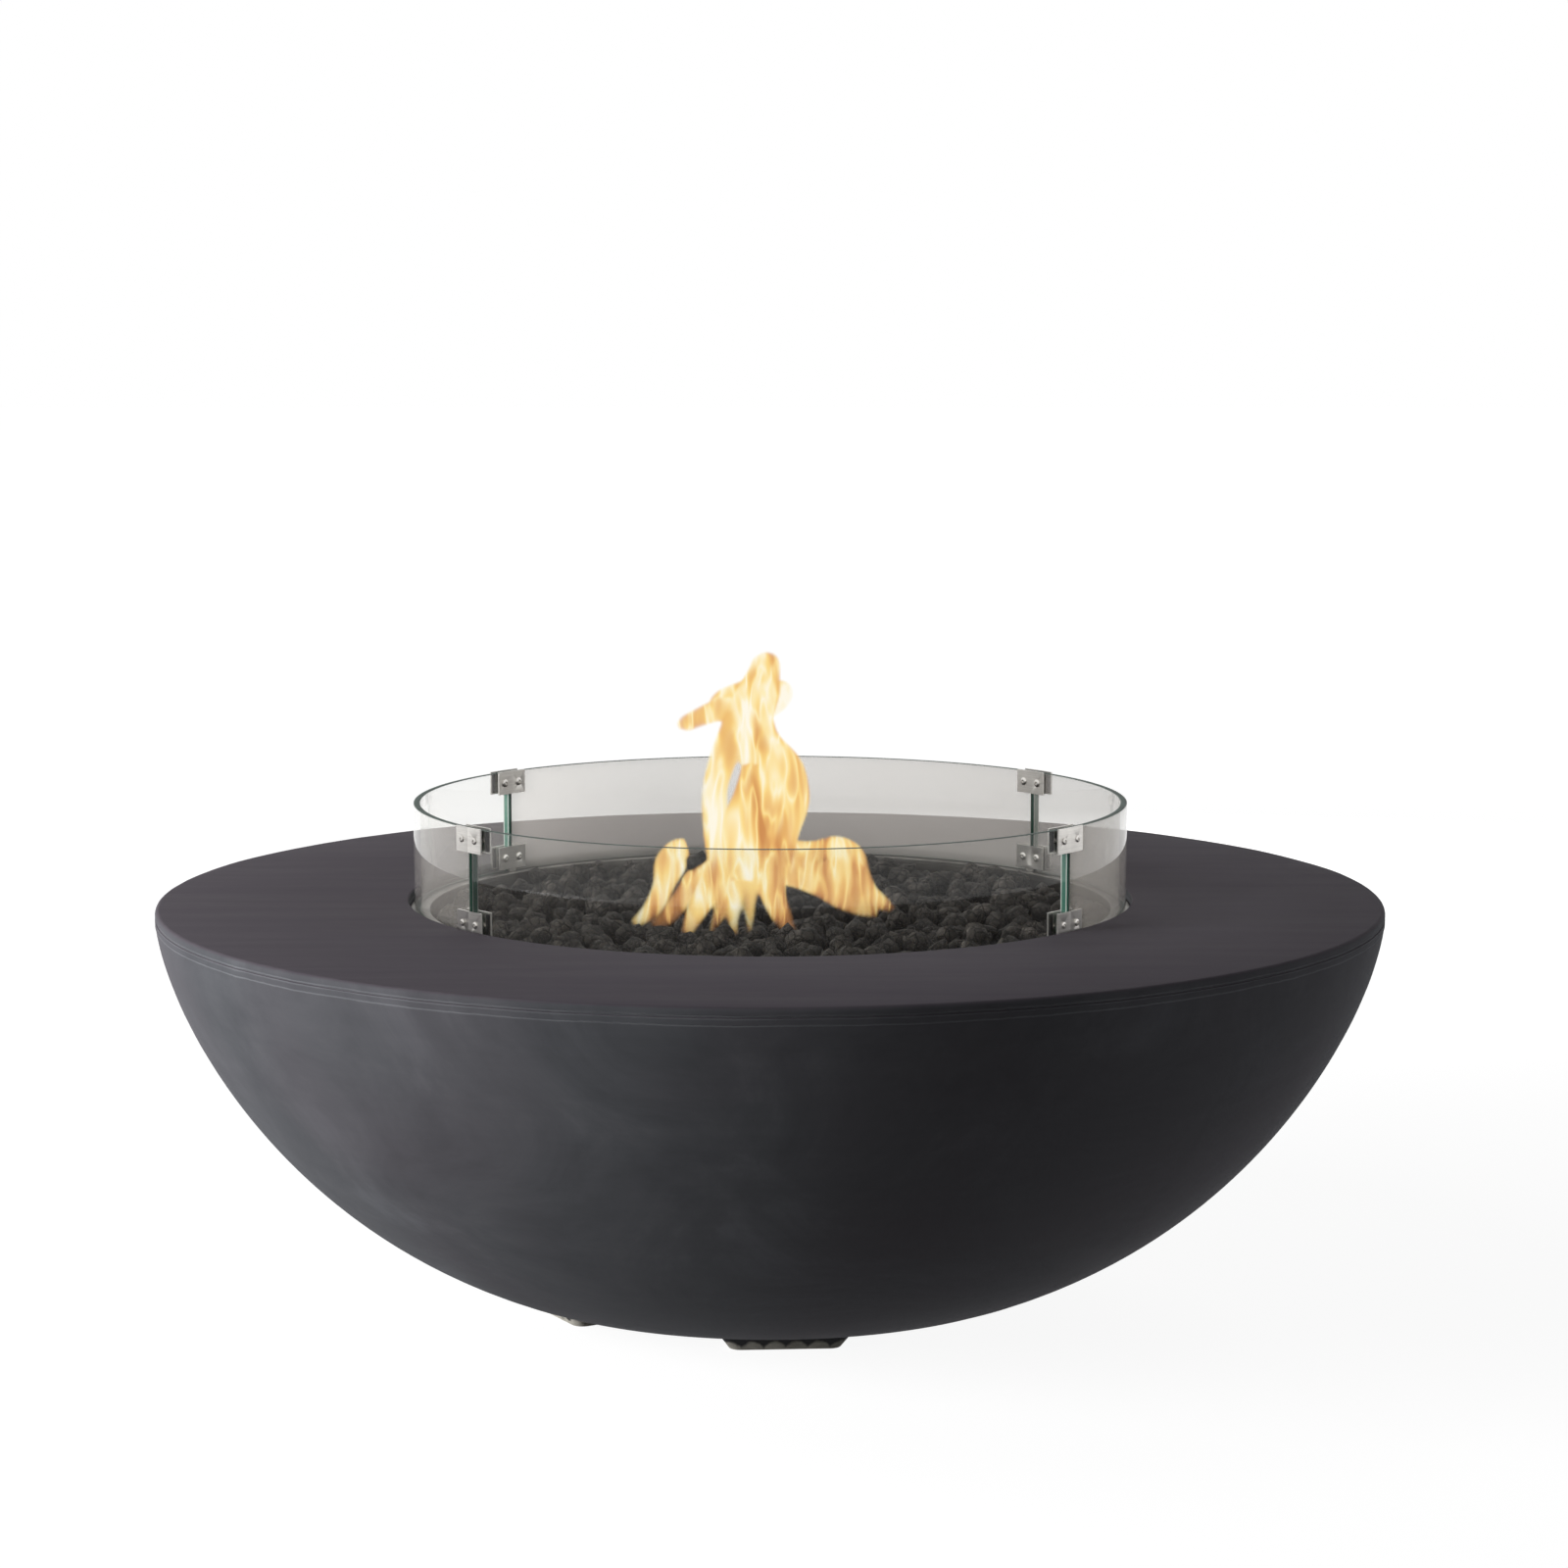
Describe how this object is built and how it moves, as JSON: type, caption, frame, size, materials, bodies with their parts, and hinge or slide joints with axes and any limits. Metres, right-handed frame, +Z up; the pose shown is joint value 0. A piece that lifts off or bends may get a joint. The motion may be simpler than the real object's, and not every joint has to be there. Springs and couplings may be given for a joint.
{
  "type": "gas fire bowl",
  "caption": "Round cast-concrete gas fire bowl on low feet, with burner pan, lava rock, a lift-off curved glass wind guard and push-button controls in a back pocket.",
  "frame": {"origin": "on the floor, under the middle of the bowl", "axes": "+Z up; the front is -Y; the control panel faces +Y"},
  "size_m": [1.0698, 1.07, 0.4358],
  "materials": {
    "concrete": "matte cast",
    "foot_concrete": "matte cast",
    "glide": "matte",
    "zinc_steel": "zinc plated",
    "pan_steel": "brushed",
    "burner_steel": "heat tinted",
    "clip_steel": "brushed",
    "brass": "machined",
    "aluminium": "drawn",
    "glass": "clear tempered",
    "lava": "porous",
    "gasket": "matte",
    "panel_steel": "brushed",
    "black_plastic": "satin",
    "knob_plastic": "satin gloss",
    "white_plastic": "matte",
    "ceramic": "glazed",
    "lead_sleeve": "silicone",
    "copper": "drawn",
    "cell": "plain",
    "button": "polished",
    "spring": "wire"
  },
  "bodies": {
    "fire_bowl": {"bowl_shell": "concrete", "foot_left": "foot_concrete", "foot_front": "foot_concrete", "foot_right": "foot_concrete", "foot_back": "foot_concrete", "foot_glides": "glide", "foot_bolts": "zinc_steel", "foot_inserts": "zinc_steel", "burner_pan": "pan_steel", "burner_frame": "burner_steel", "burner_spokes": "burner_steel", "burner_hub": "burner_steel", "hub_lock_nut": "zinc_steel", "gas_elbow": "brass", "air_mixer": "brass", "orifice_spud": "brass", "feed_pipe": "aluminium", "inlet_pipe": "aluminium", "pipe_nuts": "brass", "inlet_union": "brass", "union_lock_nut": "brass", "inlet_bracket": "zinc_steel", "bracket_screws": "zinc_steel", "pilot_bracket": "burner_steel", "pilot_burner": "brass", "thermocouple": "copper", "spark_electrode": "ceramic", "electrode_rod": "burner_steel", "pilot_tube": "aluminium", "thermocouple_lead": "copper", "ignition_lead": "lead_sleeve", "lava_rock_bed": "lava", "lava_rocks": "lava", "control_panel": "panel_steel", "panel_screws": "panel_steel", "valve_body": "brass", "valve_screws": "zinc_steel", "valve_spring": "spring", "dial_ring": "black_plastic", "igniter_body": "black_plastic", "igniter_nut": "black_plastic", "igniter_battery": "cell", "igniter_spring": "spring"},
    "push_collar": {"push_collar": "zinc_steel"},
    "gas_knob": {"gas_knob": "knob_plastic", "valve_stem": "brass", "knob_pointer": "white_plastic"},
    "igniter_button": {"igniter_button": "button"},
    "wind_guard": {"glass_front": "glass", "glass_left": "glass", "glass_back": "glass", "glass_right": "glass", "upper_clips_outer": "clip_steel", "upper_clips_inner": "clip_steel", "lower_clips_outer": "clip_steel", "lower_clips_inner": "clip_steel", "clip_gaskets": "gasket", "clip_screws": "clip_steel", "clip_nuts": "clip_steel"}
  },
  "joints": [
    {"name": "knob_push", "type": "slide", "parent": "fire_bowl", "child": "push_collar", "axis": [0, -1, 0], "range_m": [0, 0.004], "stiffness_N_per_m": 900, "springref_m": -0.004, "deforming": ["valve_spring"]},
    {"name": "knob_turn", "type": "hinge", "parent": "push_collar", "child": "gas_knob", "pos_m": [-0.033, 0.47, 0.245], "axis": [0, 1, 0], "range_deg": [0, 180]},
    {"name": "igniter_press", "type": "slide", "parent": "fire_bowl", "child": "igniter_button", "axis": [0, -1, 0], "range_m": [0, 0.003], "stiffness_N_per_m": 1000, "springref_m": -0.003, "deforming": ["igniter_spring"]},
    {"name": "guard_lift", "type": "slide", "parent": "fire_bowl", "child": "wind_guard", "axis": [0, 0, 1], "range_m": [0, 0.15]}
  ]
}
